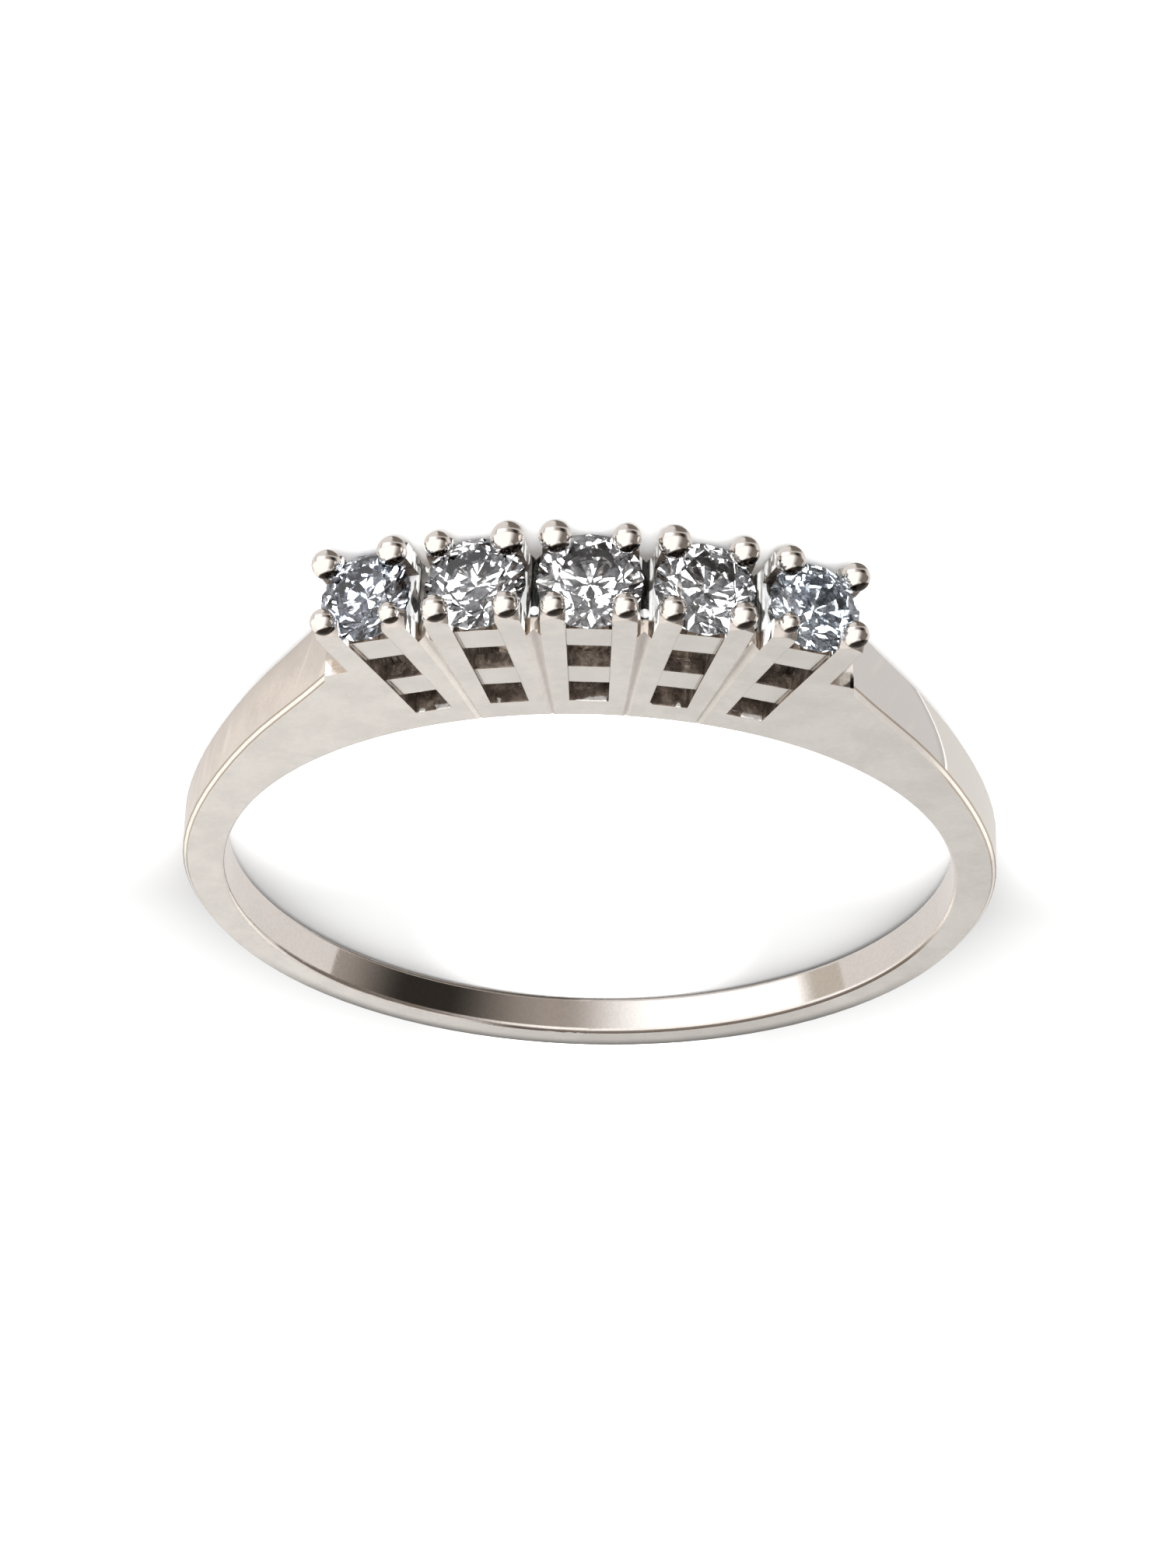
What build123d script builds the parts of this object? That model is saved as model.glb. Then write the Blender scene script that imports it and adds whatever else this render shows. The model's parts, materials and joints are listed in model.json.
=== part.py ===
from build123d import *
from collections import namedtuple
from math import cos, radians, sin, tan
import os

# Five-stone diamond ring, in millimetres.
# The finger runs along Z, the origin is the centre of the finger hole, and the stones point to -Y.
# The metal is one solid: band, shoulders, rails, claws and claw tips. Each diamond is a piece of its own.

# Band
finger_hole_diameter = 17.0
band_wall = 0.85
band_width = 0.95
straight_widening = 0.56
head_flare = 0.70
flare_power = 6
inner_edge_round = 0.11
outer_edge_bevel = 0.11
plain_band_turn = 110.0
side_view_steps = 6
flat_tolerance = 0.001

# Shoulders
shoulder_rise = 2.25
shoulder_top_turn = 29.5
shoulder_top_slope = 28.0
claw_foot_spread = 0.28
notch_height = 1.10
notch_depth = 0.20

# Rails and windows of the head, from the finger hole outwards
stone_count = 5
stone_pitch_turn = 10.75
base_rail = 0.75
lower_window = 0.78
middle_rail = 0.76
upper_window = 1.06
upper_rail = 0.80
window_width_at_base = 0.82
window_width_at_rail = 0.98
gallery_wall = 0.36
well_foot_width = 0.10
rail_recess = 0.08
saddle_drop = 0.14
valley_depth = 0.17
valley_foot_width = 0.15
valley_foot_depth = 0.06

# Claws
claw_width = 0.54
claw_depth = 0.50
claw_height = 0.84
claw_neck_drop = 0.12
claw_tip_radius = 0.31
claw_tip_inset = 0.29

# Diamonds, cut as round brilliants
diamond_diameter = 2.20
diamond_clearance = 0.03
girdle_height = 0.40
girdle_thickness = 0.06
facet_count = 8
table_share = 0.57
star_share = 0.50
lower_half_share = 0.77
crown_angle = 34.5
pavilion_angle = 40.75

# The rise of each shoulder, as shares of the sweep from the plain band and of shoulder_rise
ShoulderPoint = namedtuple("ShoulderPoint", "turn_share rise_share")
shoulder_points = [
    ShoulderPoint(turn_share=0.27, rise_share=0.050),
    ShoulderPoint(turn_share=0.58, rise_share=0.150),
    ShoulderPoint(turn_share=0.81, rise_share=0.450),
    ShoulderPoint(turn_share=1.00, rise_share=1.000),
]

# Each diamond's size as a share of diamond_diameter, and how far it is turned in its seat
Diamond = namedtuple("Diamond", "size_share turn")
diamond_table = [
    Diamond(size_share=0.95, turn=9.0),
    Diamond(size_share=1.00, turn=26.0),
    Diamond(size_share=1.04, turn=3.0),
    Diamond(size_share=1.00, turn=17.0),
    Diamond(size_share=0.95, turn=33.0),
]

# The size of each hand-finished claw tip, as a share of claw_tip_radius: one row for each setting
ClawTips = namedtuple("ClawTips", "front_low front_high back_low back_high")
claw_tips = [
    ClawTips(front_low=0.96, front_high=0.74, back_low=1.02, back_high=1.06),
    ClawTips(front_low=0.98, front_high=0.94, back_low=1.06, back_high=1.18),
    ClawTips(front_low=0.90, front_high=0.88, back_low=1.02, back_high=1.14),
    ClawTips(front_low=0.94, front_high=0.97, back_low=1.18, back_high=0.94),
    ClawTips(front_low=0.78, front_high=0.94, back_low=1.06, back_high=1.06),
]

# Worked out from the sizes above
hole_radius = finger_hole_diameter / 2
band_radius = hole_radius + band_wall
shoulder_radius = band_radius + shoulder_rise
lower_window_foot = hole_radius + base_rail
lower_window_top = lower_window_foot + lower_window
upper_window_foot = lower_window_top + middle_rail
upper_window_top = upper_window_foot + upper_window
rail_radius = upper_window_top + upper_rail
saddle_radius = rail_radius - saddle_drop
claw_radius = rail_radius + claw_height
girdle_radius = rail_radius + girdle_height
claw_inner = window_width_at_rail / 2
claw_outer = claw_inner + claw_width
claw_middle = (claw_inner + claw_outer) / 2
saddle_width = 2 * (rail_radius * sin(radians(stone_pitch_turn / 2))
                    - claw_outer * cos(radians(stone_pitch_turn / 2)))
head_width = band_width + straight_widening + head_flare
claw_back = head_width / 2 - claw_depth
far_radius = claw_radius + 2 * claw_tip_radius
settings = range(stone_count)
sides = (-1, 1)


def turned(turn, radius):
    """Point at a turn in degrees from the middle of the head, at a radius from the finger's axis."""
    return Vector(radius * sin(radians(turn)), -radius * cos(radians(turn)))


def setting_turn(place):
    """Turn of the axis of a setting, with the middle of the head at zero."""
    return (place - (stone_count - 1) / 2) * stone_pitch_turn


def fanned(turn, across, radius):
    """Point at a radius along the axis that has this turn, and across it by a length."""
    return turned(turn, radius) + Vector(across * cos(radians(turn)), across * sin(radians(turn)))


def fan_plane(turn, origin):
    """Plane square to the axis that has this turn, with its x across the axis and its y along the finger."""
    return Plane(
        origin=origin,
        x_dir=(cos(radians(turn)), sin(radians(turn)), 0),
        z_dir=(sin(radians(turn)), -cos(radians(turn)), 0),
    )


def half_width(y):
    """Half the width of the metal along the finger: it widens evenly, and flares at the head."""
    share = (band_radius - y) / (band_radius + claw_radius)
    return (band_width + share * straight_widening + share**flare_power * head_flare) / 2


def on_face(point, side):
    """The same point, lifted to the front or the back face of the metal."""
    return Vector(point.X, point.Y, side * half_width(point.Y))


def window_half_width(radius):
    """Half the clear width between two claws of a setting, which lean apart as they rise."""
    share = (radius - hole_radius) / (rail_radius - hole_radius)
    return (window_width_at_base + share * (window_width_at_rail - window_width_at_base)) / 2


def shoulder_line(side):
    """Points of the outer line of one shoulder, from the plain band up to its top."""
    sweep = plain_band_turn - shoulder_top_turn
    return [turned(side * plain_band_turn, band_radius)] + [
        turned(side * (plain_band_turn - point.turn_share * sweep),
               band_radius + point.rise_share * shoulder_rise)
        for point in shoulder_points
    ]


def foot_line(side):
    """Points of the hollow curve of the foot, from the top of a shoulder up to the side of the end claw."""
    end_turn = side * setting_turn(stone_count - 1)
    knee_radius = (shoulder_radius + rail_radius) / 2
    return [
        turned(side * shoulder_top_turn, shoulder_radius),
        fanned(end_turn, side * (claw_outer + claw_foot_spread), knee_radius),
        fanned(end_turn, side * claw_outer, rail_radius),
    ]


def tip_share(place, side, face):
    """Size of one claw tip as a share of the usual one."""
    tips = claw_tips[place % len(claw_tips)]
    if face > 0:
        return tips.front_low if side < 0 else tips.front_high
    return tips.back_low if side < 0 else tips.back_high


def diamond_row(place):
    """Row of the table for the diamond in a setting."""
    return diamond_table[place % len(diamond_table)]


def seat_plane(place):
    """Plane of the girdle of the diamond in a setting, with its table outwards."""
    return fan_plane(setting_turn(place), turned(setting_turn(place), girdle_radius))


def side_view(recess):
    """Solid between the front and the back face, which lean apart to the claws, each set in by recess."""
    ends = (band_radius + band_wall, -far_radius)
    pitch = (ends[1] - ends[0]) / side_view_steps
    lengths = [ends[0] + step * pitch for step in range(side_view_steps + 1)]
    with BuildPart() as slab:
        with BuildSketch(Plane.YZ):
            with BuildLine():
                for side in sides:
                    Spline(*[(y, side * (half_width(y) - recess)) for y in lengths])
                for y in ends:
                    Line((y, recess - half_width(y)), (y, half_width(y) - recess))
            make_face()
        extrude(amount=far_radius, both=True)
    return slab.part


# Sizes of a cut diamond, measured from the middle of its girdle
stone_radius = diamond_diameter / 2
half_girdle = girdle_thickness / 2
table_corner = table_share * stone_radius
table_height = half_girdle + (stone_radius - table_corner) * tan(radians(crown_angle))
culet_depth = half_girdle + stone_radius * tan(radians(pavilion_angle))
facet_turn = 360 / facet_count
half_turn = facet_turn / 2
table_side = table_corner * cos(radians(half_turn))
star_reach = table_side + star_share * (stone_radius - table_side)
star_drop = (star_reach * cos(radians(half_turn)) - table_corner) * tan(radians(crown_angle))
star_height = table_height - star_drop
lower_reach = (1 - lower_half_share) * stone_radius
lower_height = lower_reach * cos(radians(half_turn)) * tan(radians(pavilion_angle)) - culet_depth

# What a diamond and its clearance take out of the claws
with BuildPart() as seat_cutter:
    with BuildSketch(Plane.XZ):
        for side in sides:
            with BuildLine():
                Polyline(
                    (0, -culet_depth),
                    (side * lower_reach, lower_height),
                    (side * stone_radius, -half_girdle),
                    (side * stone_radius, half_girdle),
                    (side * star_reach, star_height),
                    (side * table_corner, table_height),
                    (0, table_height),
                    close=True,
                )
            make_face()
        offset(amount=diamond_clearance, kind=Kind.INTERSECTION)
        split(bisect_by=Plane.YZ)
    revolve(axis=Axis.Z)

# Claw tips, and what narrows each claw to a neck under its tip
neck_cutters = []
domes = []
for place in settings:
    turn = setting_turn(place)
    for side in sides:
        for face in sides:
            dome_radius = claw_tip_radius * tip_share(place, side, face)
            neck_radius = dome_radius * claw_width / (2 * claw_tip_radius)
            tip = fanned(turn, side * claw_middle, claw_radius)
            tip = Vector(tip.X, tip.Y, face * (half_width(tip.Y) - claw_tip_inset))
            across = fan_plane(turn, tip)
            with BuildPart() as neck_cutter:
                with BuildSketch(Plane(origin=tip, x_dir=across.x_dir, z_dir=across.y_dir)):
                    with BuildLine():
                        Polyline(
                            (neck_radius, claw_neck_drop),
                            (neck_radius + claw_depth / 2, claw_neck_drop + claw_depth / 2),
                            (neck_radius + claw_depth / 2, -claw_tip_radius),
                            (neck_radius, -claw_tip_radius),
                            close=True,
                        )
                    make_face()
                revolve(axis=Axis(tip, across.z_dir))
            neck_cutters.append(neck_cutter.part)
            with BuildPart() as dome:
                with Locations(tip):
                    Sphere(dome_radius)
            domes.append(dome.part)

# Open well under each diamond, which narrows towards the finger hole
with BuildPart() as wells:
    for place in settings:
        turn = setting_turn(place)
        foot, top = (turned(turn, radius) for radius in (hole_radius - base_rail, girdle_radius))
        for end, width in ((foot, well_foot_width), (top, 2 * (half_width(top.Y) - gallery_wall))):
            with BuildSketch(fan_plane(turn, end)):
                Rectangle(2 * window_half_width(end.length), width)
        loft()

# Windows between the rails, through the front and the back
with BuildPart() as windows:
    with BuildSketch(Plane.XY.offset(-head_width)):
        for place in settings:
            turn = setting_turn(place)
            for foot, top in ((lower_window_foot, lower_window_top), (upper_window_foot, upper_window_top)):
                with BuildLine():
                    Polyline(
                        fanned(turn, -window_half_width(foot), foot),
                        fanned(turn, window_half_width(foot), foot),
                        fanned(turn, window_half_width(top), top),
                        fanned(turn, -window_half_width(top), top),
                        close=True,
                    )
                make_face()
    extrude(amount=2 * head_width)

# The rails lie a little below the bars of the claws, in front and at the back
with BuildPart() as recesses:
    with BuildSketch(Plane.XY.offset(-head_width)):
        for place in settings:
            turn = setting_turn(place)
            with BuildLine():
                Polyline(
                    fanned(turn, -window_half_width(lower_window_foot), lower_window_foot),
                    fanned(turn, window_half_width(lower_window_foot), lower_window_foot),
                    fanned(turn, claw_inner, rail_radius),
                    fanned(turn, claw_inner, girdle_radius),
                    fanned(turn, -claw_inner, girdle_radius),
                    fanned(turn, -claw_inner, rail_radius),
                    close=True,
                )
            make_face()
    extrude(amount=2 * head_width)
    add(side_view(rail_recess), mode=Mode.SUBTRACT)

# Saddles between neighbouring settings
joints = [setting_turn(place) + stone_pitch_turn / 2 for place in settings[:-1]]
with BuildPart() as saddles:
    for turn in joints:
        with BuildSketch(fan_plane(turn, turned(turn, saddle_radius))):
            Rectangle(saddle_width, 2 * head_width)
        extrude(amount=2 * saddle_drop)

# Valleys down the joints of neighbouring claws, which open towards the saddles
with BuildPart() as valleys:
    for turn in joints:
        for side in sides:
            foot = on_face(turned(turn, hole_radius), side)
            top = on_face(turned(turn, rail_radius), side)
            for end, width, depth in ((foot, valley_foot_width, valley_foot_depth),
                                      (top, saddle_width, valley_depth)):
                with BuildSketch(fan_plane(turn, end)):
                    Polygon((-width / 2, 0), (0, depth), (width / 2, 0), (0, -depth), align=None)
            loft()

# Notches between the end claws and the shoulders, in front and at the back
with BuildPart() as notches:
    for side in sides:
        end_turn = side * setting_turn(stone_count - 1)
        tip = fanned(end_turn, side * claw_outer, rail_radius - notch_height)
        for face in sides:
            with BuildSketch(Plane.XY.offset(face * head_width)):
                with BuildLine():
                    Polyline(
                        tip,
                        fanned(end_turn, 2 * side * claw_outer, rail_radius - notch_height),
                        fanned(end_turn, 2 * side * claw_outer, claw_radius),
                        fanned(end_turn, side * claw_outer, claw_radius),
                        close=True,
                    )
                make_face()
            extrude(amount=face * (half_width(tip.Y) - notch_depth - head_width))

with BuildPart() as ring_mount:
    # Outline seen along the finger: band, shoulders, rails and the bars of the claws
    with BuildSketch(Plane.XY.offset(-head_width)):
        with BuildLine():
            ThreePointArc(turned(plain_band_turn, band_radius), turned(180, band_radius),
                          turned(-plain_band_turn, band_radius))
            for side in sides:
                Spline(*shoulder_line(side), tangents=[turned(side * (plain_band_turn - 90), 1),
                                                       turned(-side * shoulder_top_slope, 1)])
                ThreePointArc(*foot_line(side))
            ThreePointArc(foot_line(1)[-1], turned(0, foot_line(1)[-1].length), foot_line(-1)[-1])
        make_face()
        for place in settings:
            for side in sides:
                with BuildLine():
                    Polyline(
                        fanned(setting_turn(place), side * claw_inner, upper_window_top),
                        fanned(setting_turn(place), side * claw_outer, upper_window_top),
                        fanned(setting_turn(place), side * claw_outer, claw_radius),
                        fanned(setting_turn(place), side * claw_inner, claw_radius),
                        close=True,
                    )
                make_face()
        Circle(hole_radius, mode=Mode.SUBTRACT)
    extrude(amount=2 * head_width)

    add(side_view(0), mode=Mode.INTERSECT)

    # Rounded edges of the finger hole, and bevelled edges of the band and the shoulders
    hole_face = ring_mount.faces().filter_by(GeomType.CYLINDER).sort_by(
        lambda face: abs(face.radius - hole_radius))[0]
    fillet(hole_face.edges().filter_by(Axis.Z, reverse=True), radius=inner_edge_round)
    outer_faces = ring_mount.faces().filter_by(
        lambda face: abs(face.normal_at().Z) < flat_tolerance and face.center().Y > -hole_radius
        and face.center().length > hole_radius and face.area > band_wall * head_width)
    outer_edges = ShapeList(edge for face in outer_faces for edge in face.edges())
    chamfer(outer_edges.filter_by(Axis.Z, reverse=True), length=outer_edge_bevel)

    # Trough between the front and the back claws
    with BuildSketch(Plane.XY.offset(-claw_back)):
        Circle(far_radius)
        Circle(rail_radius, mode=Mode.SUBTRACT)
    extrude(amount=2 * claw_back, mode=Mode.SUBTRACT)

    # Claw tips: each bar narrows to a neck, and a dome sits on it
    add(neck_cutters, mode=Mode.SUBTRACT)
    add(domes)

    # Open wells, windows, recessed rails, saddles, valleys and notches
    for cutter in (wells, windows, recesses, saddles, valleys, notches):
        add(cutter.part, mode=Mode.SUBTRACT)

    # Seats of the diamonds
    for place in settings:
        with Locations(seat_plane(place)):
            add(seat_cutter.part.scale(diamond_row(place).size_share), mode=Mode.SUBTRACT)


def around(turn, radius, height):
    """Point on a diamond at a turn, radius and height."""
    return Vector(radius * cos(radians(turn)), radius * sin(radians(turn)), height)


def cut_facet(first, second, third):
    """Grind the diamond flat on the plane through three points, named anticlockwise seen from outside."""
    split(bisect_by=Plane(origin=first, z_dir=(second - first).cross(third - first)), keep=Keep.BOTTOM)


# One diamond with its girdle at the origin and its table towards +Z
with BuildPart() as brilliant:
    with BuildSketch(Plane.XY.offset(-culet_depth)):
        RegularPolygon(stone_radius, 2 * facet_count)
    extrude(amount=culet_depth + table_height)
    for step in range(facet_count):
        turn = step * facet_turn
        tangent = around(turn + 90, stone_radius, 0)
        girdle_top = around(turn, stone_radius, half_girdle)
        girdle_foot = around(turn, stone_radius, -half_girdle)
        star_tip = around(turn + half_turn, star_reach, star_height)
        lower_tip = around(turn + half_turn, lower_reach, lower_height)
        # Kite, star and pavilion main facets
        cut_facet(girdle_top, girdle_top + tangent, around(turn, table_corner, table_height))
        cut_facet(around(turn, table_corner, table_height), star_tip,
                  around(turn + facet_turn, table_corner, table_height))
        cut_facet(girdle_foot, Vector(0, 0, -culet_depth), girdle_foot + tangent)
        # Upper and lower halves on each side of the star's tip
        for start in (turn, turn + half_turn):
            end = start + half_turn
            cut_facet(around(start, stone_radius, half_girdle),
                      around(end, stone_radius, half_girdle), star_tip)
            cut_facet(around(end, stone_radius, -half_girdle),
                      around(start, stone_radius, -half_girdle), lower_tip)

diamonds = []
for place in settings:
    row = diamond_row(place)
    with BuildPart() as diamond:
        with Locations(Location(seat_plane(place)) * Location((0, 0, 0), (0, 0, row.turn))):
            add(brilliant.part.scale(row.size_share))
    diamond.part.label = f"diamond_{place + 1}"
    diamonds.append(diamond.part)

os.makedirs("parts", exist_ok=True)
ring_mount.part.label = "ring_mount"
for piece in [ring_mount.part] + diamonds:
    export_step(piece, f"parts/{piece.label}.step")
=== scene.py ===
"""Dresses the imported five-stone ring: finishes of the metal, diamonds, studio, floor and camera.

Lengths are in metres unless a class says otherwise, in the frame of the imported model: the finger runs
along Z, the origin is the centre of the finger hole, and the stones point to -Y.
"""

import json
import logging
import math
from dataclasses import dataclass
from enum import Enum
from functools import reduce

import bpy
from mathutils import Matrix, Vector

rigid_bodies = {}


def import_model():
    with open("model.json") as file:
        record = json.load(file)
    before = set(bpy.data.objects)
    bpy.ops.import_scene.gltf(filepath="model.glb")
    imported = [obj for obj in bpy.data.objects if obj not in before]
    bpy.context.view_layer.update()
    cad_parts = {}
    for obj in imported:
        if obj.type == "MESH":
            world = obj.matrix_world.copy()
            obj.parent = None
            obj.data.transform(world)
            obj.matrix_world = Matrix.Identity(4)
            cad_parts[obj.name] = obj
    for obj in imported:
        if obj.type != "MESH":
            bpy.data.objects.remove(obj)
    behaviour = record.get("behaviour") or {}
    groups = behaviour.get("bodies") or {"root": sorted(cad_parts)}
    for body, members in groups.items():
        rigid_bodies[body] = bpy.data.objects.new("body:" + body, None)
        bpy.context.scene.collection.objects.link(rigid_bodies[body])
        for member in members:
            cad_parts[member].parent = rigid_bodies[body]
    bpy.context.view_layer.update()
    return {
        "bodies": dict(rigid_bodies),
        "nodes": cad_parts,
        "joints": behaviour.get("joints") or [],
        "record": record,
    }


MM = 0.001
HALF_TURN = 180.0
MOUNT_NODE = "ring_mount"

Colour = tuple[float, float, float]
Place = tuple[float, float, float]
Span = tuple[float, float]
Socket = bpy.types.NodeSocket

log = logging.getLogger("ring")


class Layer(Enum):
    """Where each pattern is taken from the endless noise, so that no two of them lie on each other."""

    PATCHES = 0.0
    STAINS = 3.0
    LUMPS = 5.0
    GRAIN = 11.0
    SPECKS = 17.0
    WEAR = 23.0
    STREAKS = 31.0


class Sheet:
    """Lays out and joins the nodes of one material or world."""

    def __init__(self, tree: bpy.types.NodeTree) -> None:
        """Empty the tree and keep it.

        Args:
            tree: The node tree to fill.
        """
        self.tree = tree
        self.tree.nodes.clear()

    def feed(self, target: Socket, value: object) -> None:
        """Link an output to an input, or set the input to a plain value.

        Args:
            target: The input.
            value: An output, a number, a vector or a colour.
        """
        if isinstance(value, Socket):
            self.tree.links.new(value, target)
        else:
            target.default_value = (*value, 1.0) if target.type == "RGBA" else value

    def node(self, kind: str, sockets: dict[str | int, object] | None = None,
             **settings: object) -> bpy.types.Node:
        """Add one node.

        Args:
            kind: The node's type, without its leading "ShaderNode".
            sockets: What feeds the node's inputs, by their names or numbers.
            settings: Properties of the node to set.

        Returns:
            The new node.
        """
        made = self.tree.nodes.new("ShaderNode" + kind)
        for name, value in settings.items():
            setattr(made, name, value)
        for key, value in (sockets or {}).items():
            self.feed(made.inputs[key], value)
        return made

    def math(self, operation: str, *values: object) -> Socket:
        """Work out one number from outputs or numbers, in the order of a Math node's inputs."""
        return self.node("Math", dict(enumerate(values)), operation=operation).outputs[0]

    def times(self, *values: object) -> Socket:
        """Multiply two or more outputs or numbers."""
        return reduce(lambda product, value: self.math("MULTIPLY", product, value), values)

    def length(self, first: Socket, second: Socket) -> Socket:
        """Work out the length of a line from its two parts, which are square to each other."""
        return self.math("SQRT", self.math("MULTIPLY_ADD", first, first, self.times(second, second)))

    def ramp(self, value: Socket, span: Span, low: float = 0.0, high: float = 1.0) -> Socket:
        """Turn a value smoothly from low to high.

        Args:
            value: The output to read.
            span: The values at which the result leaves low and reaches high.
            low: The result before the span.
            high: The result after the span.

        Returns:
            The output that holds the result.
        """
        sockets = {"Value": value, "From Min": span[0], "From Max": span[1], "To Min": low, "To Max": high}
        return self.node("MapRange", sockets, interpolation_type="SMOOTHSTEP", clamp=True).outputs["Result"]

    def mix(self, share: Socket, first: object, second: object) -> Socket:
        """Blend two colours.

        Args:
            share: How much of the second colour there is.
            first: An output or a colour.
            second: An output or a colour.

        Returns:
            The output that holds the colour.
        """
        # A Mix node's colours are its inputs 6 and 7 and its output 2
        made = self.node("Mix", {0: share, 6: first, 7: second}, data_type="RGBA", clamp_factor=True)
        return made.outputs[2]

    def scale(self, colour: object, factor: object) -> Socket:
        """Multiply a colour or a vector by a number."""
        return self.node("VectorMath", {0: colour, "Scale": factor}, operation="SCALE").outputs[0]

    def bump(self, height: Socket, distance: float, normal: Socket) -> Socket:
        """Add a relief to a normal.

        Args:
            height: The output that holds the height.
            distance: The height in metres that a height of one stands for.
            normal: The normal before the relief.

        Returns:
            The output that holds the new normal.
        """
        sockets = {"Strength": 1.0, "Distance": distance, "Height": height, "Normal": normal}
        return self.node("Bump", sockets).outputs["Normal"]

    def place(self) -> tuple[Socket, ...]:
        """Read the place on the object, in millimetres along X, Y and Z."""
        place = self.scale(self.node("TexCoord").outputs["Object"], 1.0 / MM)
        return tuple(self.node("SeparateXYZ", {0: place}).outputs)

    def turn(self) -> Socket:
        """Read the turn about the finger's axis, in degrees from the middle of the head."""
        across, down, _ = self.place()
        return self.math("DEGREES", self.math("ARCTAN2", across, self.times(down, -1.0)))

    def radius(self) -> Socket:
        """Read the distance from the finger's axis, in millimetres."""
        across, down, _ = self.place()
        return self.length(across, down)

    def stripes(self, where: Socket, scale: float, detail: float = 2.0) -> Socket:
        """Read a row of uneven stripes.

        Args:
            where: The output that says how far along the row a point is.
            scale: Stripes in one step of where.
            detail: Octaves of finer stripes.

        Returns:
            The output that holds a value about 0.5.
        """
        sockets = {"W": where, "Scale": scale, "Detail": detail}
        return self.node("TexNoise", sockets, noise_dimensions="1D").outputs["Fac"]

    def clouds(self, where: Socket, scale: float, detail: float, roughness: float = 0.5) -> Socket:
        """Read a cloud pattern.

        Args:
            where: The output that holds the place in the pattern.
            scale: Patches in one step of where.
            detail: Octaves of finer patches.
            roughness: How strong the finer patches are.

        Returns:
            The output that holds a value about 0.5.
        """
        sockets = {"Vector": where, "Scale": scale, "Detail": detail, "Roughness": roughness}
        return self.node("TexNoise", sockets, noise_dimensions="3D").outputs["Fac"]

    def noise(self, scale: float, layer: Layer = Layer.PATCHES, detail: float = 3.0,
              stretch: Place = (1.0, 1.0, 1.0), roughness: float = 0.55) -> Socket:
        """Read a cloud pattern that is fixed to the object.

        Args:
            scale: Patches in a millimetre.
            layer: The part of the endless noise to take.
            detail: Octaves of finer patches.
            stretch: How much denser the pattern is along each axis.
            roughness: How strong the finer patches are.

        Returns:
            The output that holds a value about 0.5.
        """
        place = self.node("Mapping", {
            "Vector": self.node("TexCoord").outputs["Object"],
            "Location": (layer.value,) * 3,
            "Scale": tuple(part / MM for part in stretch),
        }, vector_type="POINT")
        return self.clouds(place.outputs["Vector"], scale, detail, roughness)


def new_material(name: str, kind: str) -> tuple[bpy.types.Material, Sheet, bpy.types.Node]:
    """Make a material with one shader.

    Args:
        name: The material's name.
        kind: The shader's type, without its leading "ShaderNode".

    Returns:
        The material, its node sheet and its shader.
    """
    made = bpy.data.materials.new(name)
    made.use_nodes = True
    sheet = Sheet(made.node_tree)
    shader = sheet.node(kind)
    sheet.node("OutputMaterial", {"Surface": shader.outputs[0]})
    return made, sheet, shader


@dataclass(frozen=True)
class Taper:
    """The width of the metal along the finger, as the CAD has it. Lengths are in millimetres."""

    band_radius: float = 9.35
    ring_length: float = 22.84
    band_width: float = 0.95
    straight_widening: float = 0.56
    head_flare: float = 0.70
    flare_power: float = 6.0

    def half_width(self, y: float) -> float:
        """Work out half the width of the metal at a place along Y.

        Args:
            y: The place along Y.

        Returns:
            Half the width.
        """
        share = (self.band_radius - y) / self.ring_length
        widening = share * self.straight_widening + share**self.flare_power * self.head_flare
        return (self.band_width + widening) / 2

    def depth(self, sheet: Sheet) -> Socket:
        """Read how far a point lies behind the front face or the back face.

        Args:
            sheet: The material's node sheet.

        Returns:
            The output that holds the depth.
        """
        _, down, along = sheet.place()
        start = self.band_radius / self.ring_length
        share = sheet.math("MULTIPLY_ADD", down, -1.0 / self.ring_length, start)
        even = sheet.math("MULTIPLY_ADD", share, self.straight_widening / 2, self.band_width / 2)
        flare = sheet.math("POWER", share, self.flare_power)
        half = sheet.math("MULTIPLY_ADD", flare, self.head_flare / 2, even)
        return sheet.math("SUBTRACT", half, sheet.math("ABSOLUTE", along))


TAPER = Taper()


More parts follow.
